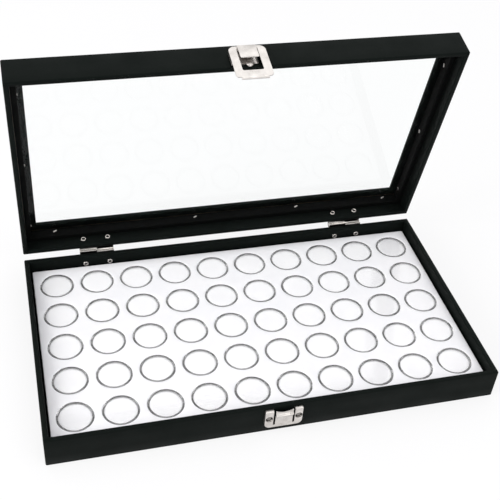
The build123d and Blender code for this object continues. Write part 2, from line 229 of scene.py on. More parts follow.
def pick(kind, test):
    """In edit mode, select only the vertices, edges or faces that pass a test."""
    mesh = bmesh.from_edit_mesh(bpy.context.object.data)
    bpy.ops.mesh.select_mode(type=kind)
    bpy.ops.mesh.select_all(action="DESELECT")
    for item in {"VERT": mesh.verts, "EDGE": mesh.edges, "FACE": mesh.faces}[kind]:
        item.select_set(test(item))
    mesh.select_flush_mode()
    bmesh.update_edit_mesh(bpy.context.object.data)


def ease_edges(test, radius, segments):
    """Round the edges that pass a test."""
    pick("EDGE", test)
    bpy.ops.mesh.bevel(offset=radius, segments=segments, affect="EDGES")


def draw_out(x=0, y=0, z=0):
    """Extrude what is selected along a direction."""
    bpy.ops.mesh.extrude_region_move(TRANSFORM_OT_translate={"value": (x, y, z)})


def cut_across(axis, place):
    """Cut the whole mesh along one plane, square to an axis."""
    point = Vector((0, 0, 0))
    point[axis] = place
    square = Vector((0, 0, 0))
    square[axis] = 1
    bpy.ops.mesh.select_all(action="SELECT")
    bpy.ops.mesh.bisect(plane_co=point, plane_no=square)


def slice_across(axis, low, high, pitch):
    """Cut the whole mesh at even distances along one axis, so that it can bend there."""
    count = max(1, round((high - low) / pitch))
    for step in range(1, count):
        cut_across(axis, low + (high - low) * step / count)


def add_modifier(piece, kind, **settings):
    """Give a piece a modifier and apply it."""
    hold(piece)
    modifier = piece.modifiers.new(kind.lower(), kind)
    for setting, value in settings.items():
        setattr(modifier, setting, value)
    bpy.ops.object.modifier_apply(modifier=modifier.name)


def thicken(piece, thickness, even=False):
    """Give a sheet its thickness, behind the face that shows."""
    add_modifier(piece, "SOLIDIFY", thickness=thickness, offset=-1, use_even_offset=even)


def smooth(piece, angle=40):
    """Shade a piece round, with its sharper edges kept."""
    hold(piece)
    bpy.ops.object.shade_smooth_by_angle(angle=radians(angle))


unevenness = bpy.data.textures.new("glued_sheet", "CLOUDS")
unevenness.noise_scale = 0.032
unevenness.noise_depth = 1


def let_sag(piece, depth):
    """Sink a surface a little, here and there."""
    add_modifier(piece, "DISPLACE", texture=unevenness, texture_coords="LOCAL", mid_level=1, strength=depth)


def hand_in(piece, material, body, slot, *nodes):
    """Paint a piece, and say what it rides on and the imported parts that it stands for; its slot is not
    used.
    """
    if material:
        piece.data.materials.clear()
        piece.data.materials.append(material)
    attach(piece, body)
    if nodes:
        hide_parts(*nodes)


def add_noise(nodes, wire, place, size, detail, stretch=None):
    """Soft noise whose lumps are about one size across, in metres, stretched along an axis if wanted."""
    noise = nodes.new("ShaderNodeTexNoise")
    noise.inputs["Scale"].default_value = 1 / size
    noise.inputs["Detail"].default_value = detail
    if stretch:
        mapping = nodes.new("ShaderNodeMapping")
        mapping.inputs["Scale"].default_value = stretch
        wire(place, mapping.inputs["Vector"])
        place = mapping.outputs["Vector"]
    wire(place, noise.inputs["Vector"])
    return noise.outputs["Fac"]


def colours(nodes, wire, value, low, high, darkest=0.3, lightest=0.7):
    """A colour between two, chosen by a value."""
    ramp = nodes.new("ShaderNodeValToRGB")
    ramp.color_ramp.elements[0].position = darkest
    ramp.color_ramp.elements[0].color = (*low, 1)
    ramp.color_ramp.elements[1].position = lightest
    ramp.color_ramp.elements[1].color = (*high, 1)
    wire(value, ramp.inputs["Fac"])
    return ramp.outputs["Color"]


def emboss(nodes, wire, height, depth, under=None):
    """A bump of a depth in metres, laid over another bump if there is one."""
    bump = nodes.new("ShaderNodeBump")
    bump.inputs["Strength"].default_value = 1
    bump.inputs["Distance"].default_value = depth
    wire(height, bump.inputs["Height"])
    if under:
        wire(under, bump.inputs["Normal"])
    return bump.outputs["Normal"]


pebble_size = 0.75 * mm
pebble_depth = 0.05 * mm
wrinkle_size = 3.5 * mm
wrinkle_depth = 0.05 * mm
rub_size = 28 * mm

leatherette, nodes, wire, shader = start_material("black_leatherette")
place = nodes.new("ShaderNodeTexCoord").outputs["Object"]
pebbles = nodes.new("ShaderNodeTexVoronoi")
pebbles.feature = "SMOOTH_F1"
pebbles.inputs["Scale"].default_value = 1 / pebble_size
pebbles.inputs["Smoothness"].default_value = 0.6
pebbles.inputs["Randomness"].default_value = 0.9
wire(place, pebbles.inputs["Vector"])
grain = emboss(nodes, wire, pebbles.outputs["Distance"], pebble_depth)
wrinkles = add_noise(nodes, wire, place, wrinkle_size, 4)
wire(emboss(nodes, wire, wrinkles, wrinkle_depth, grain), shader.inputs["Normal"])
rubbed = add_noise(nodes, wire, place, rub_size, 5)
wire(between(nodes, wire, rubbed, 0.5, 0.66), shader.inputs["Roughness"])
raised_dye = (0.0032, 0.0042, 0.0038)
sunken_dye = (0.0016, 0.0021, 0.0019)
dye = colours(nodes, wire, pebbles.outputs["Distance"], raised_dye, sunken_dye, 0.1, 0.8)
wire(dye, shader.inputs["Base Color"])
shader.inputs["Specular IOR Level"].default_value = 0.09
shader.inputs["Specular Tint"].default_value = (0.78, 1, 0.9, 1)

sheet_low, sheet_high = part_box("base_leatherette_cover")
front_board_low, front_board_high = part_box("base_front_wall")
sheet_thickness = front_board_low.y - sheet_low.y
wall_thickness = front_board_high.y - sheet_low.y + sheet_thickness
turned_under = 14 * mm
inside_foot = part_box("base_bottom_board")[1].z + 0.1 * mm
rim_radius = 1.2 * mm
corner_radius = 1.4 * mm
foot_radius = 0.7 * mm
bend_pitch = 9 * mm
waviness = 0.14 * mm


def glue_down(piece):
    """Finish a sheet of leatherette: wavy where the glue took it, and as thick as it is."""
    let_sag(piece, waviness)
    thicken(piece, sheet_thickness)
    smooth(piece, 30)


base_sheet = add_block("base_leatherette", sheet_low, sheet_high)
pick("FACE", lambda face: face.normal.z > 0.9)
bpy.ops.mesh.inset(thickness=wall_thickness)
pick("FACE", lambda face: face.normal.z > 0.9 and central(face))
draw_out(z=inside_foot - sheet_high.z)
bpy.ops.mesh.delete(type="FACE")
pick("FACE", lambda face: face.normal.z < -0.9)
bpy.ops.mesh.inset(thickness=turned_under)
bpy.ops.mesh.delete(type="FACE")
ease_edges(lambda edge: runs(edge, 2) and near(abs(middle(edge).x), sheet_high.x), corner_radius, 5)
ease_edges(lambda edge: near(middle(edge).z, sheet_high.z) and sharp(edge), rim_radius, 4)
ease_edges(lambda edge: near(middle(edge).z, 0) and sharp(edge), foot_radius, 2)
slice_across(0, sheet_low.x, sheet_high.x, bend_pitch)
slice_across(1, sheet_low.y, sheet_high.y, bend_pitch)
slice_across(2, 0, sheet_high.z, bend_pitch)
bpy.ops.object.mode_set(mode="OBJECT")
glue_down(base_sheet)
hand_in(base_sheet, leatherette, "base", "leatherette", "base_leatherette_cover")


# Leatherette of the lid
# The same black sheet over the lid's frame: from the window under the rails, over the top and the
# sides, round the rim and up the inside. It is made shut on the base and then swung open on the pins.

lid_hinge = next(joint for joint in frame["joints"] if joint["name"] == "lid_hinge")
pin = Vector(lid_hinge["pos_m"])
opening = radians(-lid_hinge["range_deg"][0])
swing = Matrix.Translation(pin) @ Matrix.Rotation(-opening, 4, "X") @ Matrix.Translation(-pin)


def put(piece, matrix):
    """Set a piece down at a place, with the place kept in its mesh."""
    hold(piece)
    piece.matrix_world = matrix
    bpy.ops.object.transform_apply(location=True, rotation=True, scale=True)


def swing_open(piece):
    """Turn a piece that was made on the shut lid to where the lid stands."""
    put(piece, swing @ piece.matrix_world)


def box_round(corners):
    """The lowest and the highest corner of the box that holds some points."""
    low = Vector(min(corner[axis] for corner in corners) for axis in range(3))
    high = Vector(max(corner[axis] for corner in corners) for axis in range(3))
    return low, high


def shut_box(node):
    """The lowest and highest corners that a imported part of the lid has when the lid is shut."""
    return box_round([swing.inverted() @ vertex.co for vertex in frame["nodes"][node].data.vertices])


lid_low, lid_high = shut_box("lid_leatherette_cover")
pane_high = shut_box("glass_pane")[1]
rail_high = shut_box("lid_top_front_rail")[1]
window_inset = rail_high.y - lid_low.y + sheet_thickness
window_half_length = lid_high.x - window_inset
window_half_width = (lid_high.y - lid_low.y) / 2 - window_inset
window_middle = Vector((0, (lid_high.y + lid_low.y) / 2, pane_high.z))
window_turn_in = 7.3 * mm
lid_turn_in = 15 * mm

lid_sheet = add_block("lid_leatherette", lid_low, lid_high)
pick("FACE", lambda face: face.normal.z < -0.9)
bpy.ops.mesh.inset(thickness=wall_thickness)
pick("FACE", lambda face: face.normal.z < -0.9 and central(face))
draw_out(z=lid_turn_in)
bpy.ops.mesh.delete(type="FACE")
pick("FACE", lambda face: face.normal.z > 0.9)
bpy.ops.mesh.inset(thickness=window_inset)
pick("FACE", lambda face: face.normal.z > 0.9 and central(face))
draw_out(z=pane_high.z - lid_high.z)
bpy.ops.mesh.delete(type="FACE")
pick("EDGE", lambda edge: near(middle(edge).z, pane_high.z))
bpy.ops.mesh.extrude_region_move()
widen = (1 + window_turn_in / window_half_length, 1 + window_turn_in / window_half_width, 1)
bpy.ops.transform.resize(value=widen, center_override=window_middle)
ease_edges(lambda edge: runs(edge, 2) and near(abs(middle(edge).x), lid_high.x), corner_radius, 5)
lid_edge_levels = (lid_low.z, lid_high.z, pane_high.z)
ease_edges(lambda edge: sharp(edge) and any(near(middle(edge).z, level) for level in lid_edge_levels),
           rim_radius, 4)
slice_across(0, lid_low.x, lid_high.x, bend_pitch)
slice_across(1, lid_low.y, lid_high.y, bend_pitch)
slice_across(2, lid_low.z, lid_high.z, bend_pitch)
bpy.ops.object.mode_set(mode="OBJECT")
glue_down(lid_sheet)
swing_open(lid_sheet)
hand_in(lid_sheet, leatherette, "lid", "leatherette", "lid_leatherette_cover")


# Boards, bottom and felt
# The walls and rails are raw fibreboard inside their leatherette. The bottom is the same board lined
# with black paper, a black felt sheet is glued under it, and a grey card lies on it under the foam.

def fibrous(name, grain, relief, darker, lighter, roughness, tone=None, stretch=None):
    """A dry finish whose relief has one grain, in two shades that follow the grain or a wider tone."""
    material, nodes, wire, shader = start_material(name)
    place = nodes.new("ShaderNodeTexCoord").outputs["Object"]
    fibres = add_noise(nodes, wire, place, *grain, stretch)
    shade = add_noise(nodes, wire, place, *tone) if tone else fibres
    wire(colours(nodes, wire, shade, darker, lighter), shader.inputs["Base Color"])
    wire(emboss(nodes, wire, fibres, relief), shader.inputs["Normal"])
    shader.inputs["Roughness"].default_value = roughness
    return material, shader


def paint(node, material):
    """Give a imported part, whose own shape stays, its finish."""
    packed = frame["nodes"][node]
    packed.data.materials.clear()
    packed.data.materials.append(material)


fibreboard, shader = fibrous("raw_fibreboard", (1.6 * mm, 6), 0.08 * mm, (0.30, 0.20, 0.12),
                             (0.47, 0.35, 0.23), 0.85, stretch=(1, 0.25, 1))
lining, shader = fibrous("black_lining_paper", (1.1 * mm, 6), 0.03 * mm, (0.006, 0.006, 0.007),
                         (0.013, 0.013, 0.014), 0.7)
card_stock, shader = fibrous("backing_card", (1.4 * mm, 6), 0.03 * mm, (0.58, 0.56, 0.51),
                             (0.70, 0.68, 0.63), 0.8)
felt, shader = fibrous("black_felt", (0.5 * mm, 8), 0.2 * mm, (0.010, 0.010, 0.012),
                       (0.020, 0.020, 0.022), 0.95, tone=(14 * mm, 3))
shader.inputs["Sheen Weight"].default_value = 0.3
shader.inputs["Specular IOR Level"].default_value = 0.15

for side in ("front", "back", "left", "right"):
    paint(f"base_{side}_wall", fibreboard)
    paint(f"lid_{side}_wall", fibreboard)
    paint(f"lid_top_{side}_rail", fibreboard)
paint("base_bottom_board", lining)
paint("base_underside_felt", felt)
paint("insert_backing_card", card_stock)


# Glass
# A clear 2 mm pane, dropped in from the lid's inside against the turned-in leatherette. It has the
# faintest green and a little dust.

def let_lamps_through(nodes, wire, shader, tint):
    """Give clear stuff a light shadow in its own tint instead of a black one."""
    clear = nodes.new("ShaderNodeBsdfTransparent")
    clear.inputs["Color"].default_value = (*tint, 1)
    path = nodes.new("ShaderNodeLightPath").outputs
    unseen = combine(nodes, wire, "MAXIMUM", path["Is Shadow Ray"], path["Is Diffuse Ray"])
    mix_shaders(nodes, wire, unseen, shader, clear, "Material Output")


pane_glass, nodes, wire, shader = start_material("window_glass")
place = nodes.new("ShaderNodeTexCoord").outputs["Object"]
dust = add_noise(nodes, wire, place, 40 * mm, 8)
wire(between(nodes, wire, dust, 0.0, 0.02, 0.45, 0.8), shader.inputs["Roughness"])
shader.inputs["Base Color"].default_value = (0.985, 0.996, 0.992, 1)
shader.inputs["IOR"].default_value = 1.2
shader.inputs["Transmission Weight"].default_value = 1
let_lamps_through(nodes, wire, shader, (0.96, 0.97, 0.965))
paint("glass_pane", pane_glass)


# Strips and brads
# Four black painted strips, butted at the corners, press the pane against the frame. Small plated
# brads are pushed through them into the walls, and each has pulled a shallow dent into the strip.

def plated(name, mottling, darker, lighter, roughness, painted_shade_range, ripple=0):
    """Nickel plating, mottled, with painted shade: its base colour goes dark where it lies close to other
    surfaces.
    """
    material, nodes, wire, shader = start_material(name)
    place = nodes.new("ShaderNodeTexCoord").outputs["Object"]
    shader.inputs["Metallic"].default_value = 1
    handled = add_noise(nodes, wire, place, mottling, 5)
    # Painted shade: ambient occlusion mixes the base colour towards near black where other surfaces lie
    # close.
    corners = nodes.new("ShaderNodeAmbientOcclusion")
    corners.samples = 8
    corners.inputs["Distance"].default_value = 3 * mm
    plate = nodes.new("ShaderNodeMix")
    plate.data_type = "RGBA"
    plate.inputs["A"].default_value = (0.05, 0.045, 0.04, 1)
    wire(colours(nodes, wire, handled, darker, lighter), plate.inputs["B"])
    wire(between(nodes, wire, corners.outputs["AO"], 0, 1, *painted_shade_range), plate.inputs["Factor"])
    wire(plate.outputs["Result"], shader.inputs["Base Color"])
    wire(between(nodes, wire, handled, *roughness), shader.inputs["Roughness"])
    if ripple:
        dents = add_noise(nodes, wire, place, 2.5 * mm, 3)
        wire(emboss(nodes, wire, dents, ripple), shader.inputs["Normal"])
    return material


def turned(name, rings, sides):
    """A round piece drawn up from pairs of radius and height, as on a lathe, and closed at both ends."""
    bpy.ops.object.select_all(action="DESELECT")
    radius, height = rings[0]
    bpy.ops.mesh.primitive_circle_add(vertices=sides, radius=radius, location=(0, 0, height),
                                      fill_type="NGON")
    piece = start_shaping(name)
    pick("EDGE", lambda edge: True)
    for wider, higher in rings[1:]:
        draw_out(z=higher - height)
        size = wider / radius
        bpy.ops.transform.resize(value=(size, size, 1), center_override=(0, 0, higher))
        radius, height = wider, higher
    bpy.ops.mesh.edge_face_add()
    bpy.ops.mesh.select_all(action="SELECT")
    bpy.ops.mesh.normals_make_consistent(inside=False)
    bpy.ops.object.mode_set(mode="OBJECT")
    return piece


def solids_of(node, shut=False):
    """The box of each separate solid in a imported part, on the lid as it lies shut."""
    mesh = bmesh.new()
    mesh.from_mesh(frame["nodes"][node].data)
    if shut:
        bmesh.ops.transform(mesh, matrix=swing.inverted(), verts=mesh.verts)
    bmesh.ops.remove_doubles(mesh, verts=mesh.verts, dist=0.001 * mm)
    seen = set()
    boxes = []
    for start in mesh.verts:
        fresh = [] if start in seen else [start]
        solid = []
        while fresh:
            vertex = fresh.pop()
            seen.add(vertex)
            solid.append(vertex.co.copy())
            fresh += [edge.other_vert(vertex) for edge in vertex.link_edges
                      if edge.other_vert(vertex) not in seen]
        if solid:
            boxes.append(box_round(solid))
    mesh.free()
    return boxes


def into_wall(centre, face, inward):
    """A stand for a fastening that goes into a wall along Y, with its seat on a face."""
    return Matrix.Translation((centre.x, face, centre.z)) @ Matrix.Rotation(radians(-90 * inward), 4, "X")


def copy_of(piece, name):
    """A second piece of the same shape with its own mesh."""
    twin = piece.copy()
    twin.data = piece.data.copy()
    twin.name = name
    bpy.context.scene.collection.objects.link(twin)
    return twin


def join(name, pieces):
    """Make one piece of several."""
    hold(pieces[0])
    for piece in pieces:
        piece.select_set(True)
    if len(pieces) > 1:
        bpy.ops.object.join()
    pieces[0].name = name
    return pieces[0]


def cut_with(piece, tool, operation="DIFFERENCE"):
    """Cut a piece with a tool shape, or add the tool to it, and clear the tool away."""
    add_modifier(piece, "BOOLEAN", object=tool, operation=operation, solver="EXACT")
    bpy.data.objects.remove(tool)


# Bright nickel: random mottling, and painted shade where it lies close to other surfaces.
nickel = plated("bright_nickel", 7 * mm, (0.55, 0.52, 0.495), (0.77, 0.735, 0.705), (0.24, 0.4),
                (0.05, 0.45), 0.03 * mm)

strip_paint, nodes, wire, shader = start_material("black_painted_strip")
place = nodes.new("ShaderNodeTexCoord").outputs["Object"]
brushed = add_noise(nodes, wire, place, 2.2 * mm, 5)
painted = colours(nodes, wire, brushed, (0.0015, 0.0018, 0.0017), (0.0028, 0.0032, 0.003))
wire(painted, shader.inputs["Base Color"])
wire(between(nodes, wire, brushed, 0.5, 0.65), shader.inputs["Roughness"])
wire(emboss(nodes, wire, brushed, 0.06 * mm), shader.inputs["Normal"])
shader.inputs["Specular IOR Level"].default_value = 0.05

strip_easing = 0.7 * mm
strip_pitch = 7 * mm
strip_sag = 0.08 * mm
dent_radius = 3.4 * mm
dent_depth = 0.45 * mm
brad_head = Vector((3.5, 1, 0.56)) * mm
brad_corner = 0.4 * mm
brad_easing = 0.2 * mm
brad_shoulder = 0.25 * mm
brad_shank = 3 * mm
brad_slant = Matrix.Rotation(radians(-24), 4, "Z")
front_strip_zone = pane_high.y - 12 * mm
brad_boxes = solids_of("retainer_brads", shut=True)


def add_brad(low, high):
    """A brad's flattened head on the strip's face, slanted as it was driven, on a short flat shank."""
    head = add_block("brad", -brad_head / 2, brad_head / 2)
    ease_edges(lambda edge: runs(edge, 2), brad_corner, 4)
    ease_edges(lambda edge: near(middle(edge).z, -brad_head.z / 2) and sharp(edge), brad_easing, 3)
    pick("FACE", lambda face: face.normal.z > 0.9)
    bpy.ops.mesh.inset(thickness=brad_shoulder)
    draw_out(z=brad_shank)
    bpy.ops.object.mode_set(mode="OBJECT")
    centre = (low + high) / 2
    if abs(centre.y) > front_strip_zone:
        side = 1 if centre.y > 0 else -1
        stand = into_wall(centre, side * min(abs(low.y), abs(high.y)), side)
    else:
        side = 1 if centre.x > 0 else -1
        face = side * min(abs(low.x), abs(high.x))
        upright = Matrix.Rotation(radians(90 * side), 4, "Y") @ Matrix.Rotation(radians(90), 4, "Z")
        stand = Matrix.Translation((face, centre.y, centre.z)) @ upright
    put(head, stand @ brad_slant)
    return head


brads = join("retainer_brads_driven", [add_brad(low, high) for low, high in brad_boxes])
smooth(brads)
swing_open(brads)
hand_in(brads, nickel, "lid", "nickel", "retainer_brads")

for side in ("front", "back", "left", "right"):
    low, high = shut_box(f"glass_{side}_strip")
    strip = add_block(f"glass_{side}_strip_painted", low, high)
    along = 0 if side in ("front", "back") else 1
    across = 1 - along
    inward = -1 if side in ("back", "right") else 1
    inner_face = high[across] if inward > 0 else low[across]
    ease_edges(lambda edge: runs(edge, along) and near(middle(edge)[across], inner_face), strip_easing, 4)
    slice_across(along, low[along], high[along], strip_pitch)
    bpy.ops.object.mode_set(mode="OBJECT")
    let_sag(strip, strip_sag)
    for brad_low, brad_high in brad_boxes:
        dent = (brad_low + brad_high) / 2
        beside = low[across] - mm < dent[across] < high[across] + mm
        if beside and low[along] < dent[along] < high[along]:
            dent[across] = inner_face + inward * (dent_radius - dent_depth)
            bpy.ops.object.select_all(action="DESELECT")
            bpy.ops.mesh.primitive_uv_sphere_add(segments=24, ring_count=16, radius=dent_radius,
                                                 location=dent)
            cut_with(strip, bpy.context.object)
    smooth(strip, 30)
    swing_open(strip)
    hand_in(strip, strip_paint, "lid", "black_strip", f"glass_{side}_strip")


# Hinges
# Two nickel plated steel hinges. Each leaf is one sheet rolled at one half of its width round the
# pin, and is held by two tubular rivets whose ends are rolled over inside the case.

# Hinge nickel: a darker copy of the bright nickel, as painted shade for the knuckles in their gap and the
# rolled rivet ends inside the case, with strong painted shade near other surfaces.
hinge_nickel_in_shade = plated("hinge_nickel_in_shade", 1.2 * mm, (0.5, 0.47, 0.44), (0.62, 0.59, 0.56), (0.05, 0.1),
                     (0.3, 0.85))

leaf_width = 31 * mm
leaf_sheet = 1 * mm
leaf_reach = 13 * mm
leaf_corner = 1.5 * mm
leaf_easing = 0.16 * mm
knuckle_radius = 3.1 * mm
knuckle_gap = 0.2 * mm
knuckle_turn = radians(310)
knuckle_facets = 28
back_face = sheet_high.y


def ease_corners(test, radius, segments):
    """Round the corners of a sheet that pass a test."""
    pick("VERT", test)
    bpy.ops.mesh.bevel(offset=radius, segments=segments, affect="VERTICES")


def face_forward(test):
    """Make all faces agree, with the faces that pass a test looking to the front."""
    bpy.ops.mesh.select_all(action="SELECT")
    bpy.ops.mesh.remove_doubles(threshold=0.001 * mm)
    bpy.ops.mesh.normals_make_consistent(inside=False)
    mesh = bmesh.from_edit_mesh(bpy.context.object.data)
    if sum(face.normal.y for face in mesh.faces if test(face)) > 0:
        bpy.ops.mesh.flip_normals()


def add_sheet(name, width, low, high, stand):
    """An upright sheet across the middle between two levels, open for shaping."""
    bpy.ops.object.select_all(action="DESELECT")
    bpy.ops.mesh.primitive_plane_add(size=1, location=(0, stand, (low + high) / 2),
                                     rotation=(radians(90), 0, 0))
    bpy.context.object.scale = (width, high - low, 1)
    return start_shaping(name)


def break_edges(piece, width, angle=50):
    """Take the sharpness off the cut edges of a sheet."""
    add_modifier(piece, "BEVEL", width=width, segments=2, limit_method="ANGLE", angle_limit=radians(angle))


def rod(name, radius, half_length, easing, sides):
    """A rod along Z whose ends are eased by pairs of how far in and how far down each ring lies."""
    end = [(radius - inset, half_length - drop) for inset, drop in easing]
    return turned(name, [(wide, -high) for wide, high in end] + end[::-1], sides)


def add_leaf(name):
    """A base leaf of a hinge at x = 0, from its foot to the seam of its knuckle."""
    shoulder = pin.z - knuckle_radius - knuckle_gap
    leaf = add_sheet(name, leaf_width, pin.z - leaf_reach, shoulder, back_face)
    ease_corners(lambda vertex: vertex.co.z < shoulder - mm, leaf_corner, 5)
    cut_across(0, -knuckle_gap / 2)
    pick("EDGE", lambda edge: near(middle(edge).z, shoulder) and middle(edge).x < -knuckle_gap)
    draw_out(z=pin.z - shoulder)
    bpy.ops.mesh.spin(steps=knuckle_facets, angle=-knuckle_turn, center=pin, axis=(1, 0, 0))
    face_forward(lambda face: middle(face).z < shoulder)
    bpy.ops.object.mode_set(mode="OBJECT")
    thicken(leaf, leaf_sheet)
    break_edges(leaf, leaf_easing, 60)
    smooth(leaf)
    return leaf


half_turn = Matrix.Translation(pin) @ Matrix.Rotation(radians(180), 4, "Y") @ Matrix.Translation(-pin)
for side in ("left", "right"):
    low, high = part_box(f"{side}_hinge_base_leaf")
    shift = Matrix.Translation(((low.x + high.x) / 2, 0, 0))
    base_leaf = add_leaf(f"{side}_hinge_base_leaf_rolled")
    put(base_leaf, shift)
    hand_in(base_leaf, hinge_nickel_in_shade, "base", "nickel", f"{side}_hinge_base_leaf")
    lid_leaf = add_leaf(f"{side}_hinge_lid_leaf_rolled")
    put(lid_leaf, shift @ half_turn)
    swing_open(lid_leaf)
    hand_in(lid_leaf, hinge_nickel_in_shade, "lid", "nickel", f"{side}_hinge_lid_leaf")

pin_radius = knuckle_radius - leaf_sheet - 0.05 * mm
pin_easing = [(0.4 * mm, 0), (0.12 * mm, 0.12 * mm), (0, 0.4 * mm)]
lying = Matrix.Rotation(radians(90), 4, "Y")
hinge_pins = []
for low, high in solids_of("hinge_pins"):
    hinge_pin = rod("hinge_pin", pin_radius, leaf_width / 2, pin_easing, 40)
    put(hinge_pin, Matrix.Translation((low + high) / 2) @ lying)
    hinge_pins.append(hinge_pin)
hinge_pins = join("hinge_pins_turned", hinge_pins)
smooth(hinge_pins, 30)
hand_in(hinge_pins, hinge_nickel_in_shade, "base", "nickel", "hinge_pins")

head_radius = 2.9 * mm
head_height = 0.9 * mm
head_rim = 0.06 * mm
shank_radius = 1.5 * mm
roll_radius = 2.5 * mm
roll_height = 0.8 * mm
roll_seat = 0.12 * mm
mouth_radius = 1.15 * mm


def add_rivet(name, grip, head):
    """A tubular rivet along Z: a low domed head under zero, the shank, and the rolled end past the grip."""
    dome = (12, 28, 44, 60, 74, 84)
    rings = [(head * sin(radians(turn)), -head_height * cos(radians(turn))) for turn in dome]
    rings += [(head, -0.12 * head_height), (head - head_rim, 0), (shank_radius, 0), (shank_radius, grip)]
    rings += [(roll_radius - roll_seat, grip)]
    roll_out = (roll_radius - mouth_radius) / 2
    for turn in range(0, 181, 20):
        reach = roll_radius - roll_out + roll_out * cos(radians(turn))
        rings += [(reach, grip + roll_seat + (roll_height - roll_seat) * sin(radians(turn)))]
    rings += [(mouth_radius - 0.05 * mm, grip - mm)]
    rivet = turned(name, rings, 36)
    smooth(rivet)
    return rivet


def add_rivets(name, node, seat, inward, grip, head, on_lid, finish):
    """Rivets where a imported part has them, seated on a face of the case."""
    rivets = []
    for low, high in solids_of(node, shut=on_lid):
        rivet = add_rivet(name, grip, head)
        put(rivet, into_wall((low + high) / 2, seat, inward))
        rivets.append(rivet)
    rivets = join(name, rivets)
    if on_lid:
        swing_open(rivets)
    hand_in(rivets, finish, "lid" if on_lid else "base", "nickel", node)


leaf_face = back_face + leaf_sheet
wall_and_leaf = wall_thickness + leaf_sheet
for half in ("base", "lid"):
    add_rivets(f"hinge_{half}_rivets_rolled", f"hinge_{half}_rivets", leaf_face, -1, wall_and_leaf,
               head_radius, half == "lid", hinge_nickel_in_shade)


# Latch strap
# One nickel plated sheet folded round the ring's bar. Its outer leaf is free, and its inner leaf has a
# round lobe that a rivet holds to the lid's front.

front_face = sheet_low.y
strap_low, strap_high = shut_box("latch_strap")
strap_width = strap_high.x - strap_low.x
strap_sheet = 0.8 * mm
strap_corner = 0.8 * mm
strap_easing = 0.18 * mm
strap_leaf_foot = 4.7 * mm
strap_lobe = 3 * mm
eye_radius = 2.8 * mm
eye_facets = 20
eye = Vector((0, front_face - eye_radius, strap_high.z - eye_radius))
strap_rivet_level = strap_low.z + strap_lobe

strap = add_sheet("latch_strap_folded", strap_width, lid_low.z + strap_leaf_foot, eye.z, eye.y - eye_radius)
ease_corners(lambda vertex: vertex.co.z < eye.z - mm, strap_corner, 3)
pick("EDGE", lambda edge: near(middle(edge).z, eye.z))
bpy.ops.mesh.spin(steps=eye_facets, angle=-pi, center=eye, axis=(1, 0, 0))
draw_out(z=strap_rivet_level - eye.z)
face_forward(lambda face: middle(face).y < eye.y)
bpy.ops.object.mode_set(mode="OBJECT")
thicken(strap, strap_sheet)
lobe = turned("strap_lobe", [(strap_lobe, 0), (strap_lobe, strap_sheet)], 48)
put(lobe, Matrix.Translation((0, front_face, strap_rivet_level)) @ Matrix.Rotation(radians(90), 4, "X"))
cut_with(strap, lobe, "UNION")
break_edges(strap, strap_easing)
smooth(strap)
swing_open(strap)
hand_in(strap, nickel, "lid", "nickel", "latch_strap")
add_rivets("latch_strap_rivet_rolled", "latch_strap_rivet", front_face - strap_sheet, 1,
           wall_thickness + strap_sheet, head_radius, True, nickel)


# Latch ring
# A square ring pressed from nickel plated sheet, open at the top where its bar turns in the strap. Its
# sides are flanged back beside the strap, and a lip under the bottom band is pulled to free it.

ring_low, ring_high = shut_box("latch_ring")
ring_face = front_face - 4.7 * mm
ring_sheet = 0.9 * mm
ring_width = ring_high.x - ring_low.x
ring_foot = ring_low.z
ring_head = eye.z + 0.6 * mm
ring_head_corner = 5 * mm
ring_foot_corner = 3 * mm
ring_easing = 0.8 * mm
ring_cut_easing = 0.12 * mm
ring_window = 17 * mm
ring_window_corner = 1.5 * mm
ring_band = 7.2 * mm
ring_flange_foot = lid_low.z + 1.7 * mm
ring_flange_depth = 3 * mm
ring_lip = 22 * mm
ring_lip_bend = Vector((0, 0.5, -0.3)) * mm
ring_lip_drop = Vector((0, 0.15, -1.4)) * mm
window_foot = ring_foot + ring_band
bar_radius = 1.92 * mm
bar_end = 11.5 * mm
bar_easing = [(0.3 * mm, 0), (0, 0.3 * mm)]
past_cut = 0.01 * mm


def soften(test, radius):
    """Round the edges of a pressing that pass a test, as the press leaves them."""
    bpy.ops.object.mode_set(mode="EDIT")
    pick("EDGE", lambda edge: edge.calc_face_angle(0) > radians(50) and test(edge))
    bpy.ops.mesh.bevel(offset=radius, segments=5, affect="EDGES", clamp_overlap=True)
    bpy.ops.object.mode_set(mode="OBJECT")


def at_lip(edge):
    """Whether an edge lies where the lip leaves the foot of the ring."""
    return near(middle(edge).z, ring_foot) and abs(middle(edge).x) < ring_lip / 2


ring = add_sheet("latch_ring_pressed", ring_width, ring_foot, ring_head, ring_face)
ease_corners(lambda vertex: vertex.co.z > ring_head - mm, ring_head_corner, 8)
ease_corners(lambda vertex: vertex.co.z < ring_foot + mm, ring_foot_corner, 6)
for place in (-ring_window / 2, ring_window / 2, -ring_lip / 2, ring_lip / 2):
    cut_across(0, place)
cut_across(2, window_foot)
cut_across(2, ring_flange_foot)
pick("FACE", lambda face: abs(middle(face).x) < ring_window / 2 and middle(face).z > window_foot)
bpy.ops.mesh.delete(type="FACE")
ease_corners(lambda vertex: near(abs(vertex.co.x), ring_window / 2) and near(vertex.co.z, window_foot),
             ring_window_corner, 4)
pick("EDGE", lambda edge: edge.is_boundary and middle(edge).z > ring_flange_foot
     and abs(middle(edge).x) > ring_window / 2 + past_cut)
draw_out(y=ring_sheet + ring_flange_depth)
pick("EDGE", lambda edge: edge.is_boundary and at_lip(edge))
draw_out(*ring_lip_bend)
draw_out(*ring_lip_drop)
face_forward(lambda face: near(middle(face).y, ring_face))
bpy.ops.object.mode_set(mode="OBJECT")
thicken(ring, ring_sheet, even=True)
soften(lambda edge: near(middle(edge).y, ring_face) and not at_lip(edge), ring_easing)
break_edges(ring, ring_cut_easing)
bar = rod("ring_bar", bar_radius, bar_end, bar_easing, 32)
put(bar, Matrix.Translation(eye) @ lying)
ring = join("latch_ring_pressed", [ring, bar])
smooth(ring)
swing_open(ring)
hand_in(ring, nickel, "latch_ring", "nickel", "latch_ring")
